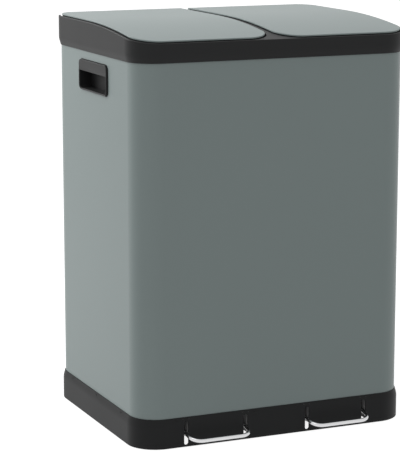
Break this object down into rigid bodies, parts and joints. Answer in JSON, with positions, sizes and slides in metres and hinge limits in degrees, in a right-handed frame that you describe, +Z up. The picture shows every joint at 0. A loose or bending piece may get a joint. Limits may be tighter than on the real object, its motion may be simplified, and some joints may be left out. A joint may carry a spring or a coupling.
{
  "type": "double recycling bin",
  "caption": "Free-standing double recycling bin with a rounded steel body, moulded base and collar, curved flush lids and wire pedals.",
  "frame": {"origin": "middle of the overall box at floor level, under the feet", "axes": "+Z up, +X to the right seen from the front, +Y to the back, pedals towards -Y"},
  "size_m": [0.47, 0.408, 0.648],
  "materials": {
    "painted_sheet": "fine-textured grey enamel",
    "painted_lid": "fine-textured grey enamel",
    "moulded_casing": "satin moulded plastic",
    "moulded_lever": "matte glass-filled plastic",
    "moulded_bucket": "satin moulded plastic",
    "chromed_wire": "bright chrome plate",
    "zinc_steel": "zinc-plated steel",
    "rubber_foot": "matte rubber"
  },
  "bodies": {
    "casing": {"base": "moulded_casing", "feet": "rubber_foot", "body_shell": "painted_sheet", "handle_left": "moulded_casing", "handle_right": "moulded_casing", "collar": "moulded_casing", "hinge_pins_left": "zinc_steel", "hinge_pins_right": "zinc_steel", "axle_left": "zinc_steel", "axle_right": "zinc_steel", "axle_clips": "zinc_steel", "rod_guide_left": "moulded_lever", "rod_guide_right": "moulded_lever", "guide_screws": "zinc_steel", "bucket_left": "moulded_bucket", "bucket_right": "moulded_bucket"},
    "lid_left": {"lid_frame_left": "moulded_casing", "lid_panel_left": "painted_lid", "lift_pin_left": "zinc_steel"},
    "pedal_lever_left": {"pedal_left": "chromed_wire", "lever_left": "moulded_lever", "lever_pin_left": "zinc_steel"},
    "rod_left": {"push_rod_left": "zinc_steel"},
    "lid_right": {"lid_frame_right": "moulded_casing", "lid_panel_right": "painted_lid", "lift_pin_right": "zinc_steel"},
    "pedal_lever_right": {"pedal_right": "chromed_wire", "lever_right": "moulded_lever", "lever_pin_right": "zinc_steel"},
    "rod_right": {"push_rod_right": "zinc_steel"}
  },
  "joints": [
    {"name": "lid_left_hinge", "type": "hinge", "parent": "casing", "child": "lid_left", "pos_m": [-0.108, 0.1915, 0.641], "axis": [-1, 0, 0], "range_deg": [0, 80]},
    {"name": "pedal_left_hinge", "type": "hinge", "parent": "casing", "child": "pedal_lever_left", "pos_m": [-0.1045, -0.086, 0.024], "axis": [1, 0, 0], "range_deg": [0, 6]},
    {"name": "rod_left_slide", "type": "slide", "parent": "casing", "child": "rod_left", "axis": [0, 0, 1], "range_m": [0, 0.02713]},
    {"name": "lid_right_hinge", "type": "hinge", "parent": "casing", "child": "lid_right", "pos_m": [0.108, 0.1915, 0.641], "axis": [-1, 0, 0], "range_deg": [0, 80]},
    {"name": "pedal_right_hinge", "type": "hinge", "parent": "casing", "child": "pedal_lever_right", "pos_m": [0.1045, -0.086, 0.024], "axis": [1, 0, 0], "range_deg": [0, 6]},
    {"name": "rod_right_slide", "type": "slide", "parent": "casing", "child": "rod_right", "axis": [0, 0, 1], "range_m": [0, 0.02713]}
  ],
  "couplings": [
    {"joint": "pedal_left_hinge", "follows": "lid_left_hinge", "ratio": 0.075},
    {"joint": "rod_left_slide", "follows": "lid_left_hinge", "m_per_rad": 0.01942},
    {"joint": "pedal_right_hinge", "follows": "lid_right_hinge", "ratio": 0.075},
    {"joint": "rod_right_slide", "follows": "lid_right_hinge", "m_per_rad": 0.01942}
  ]
}
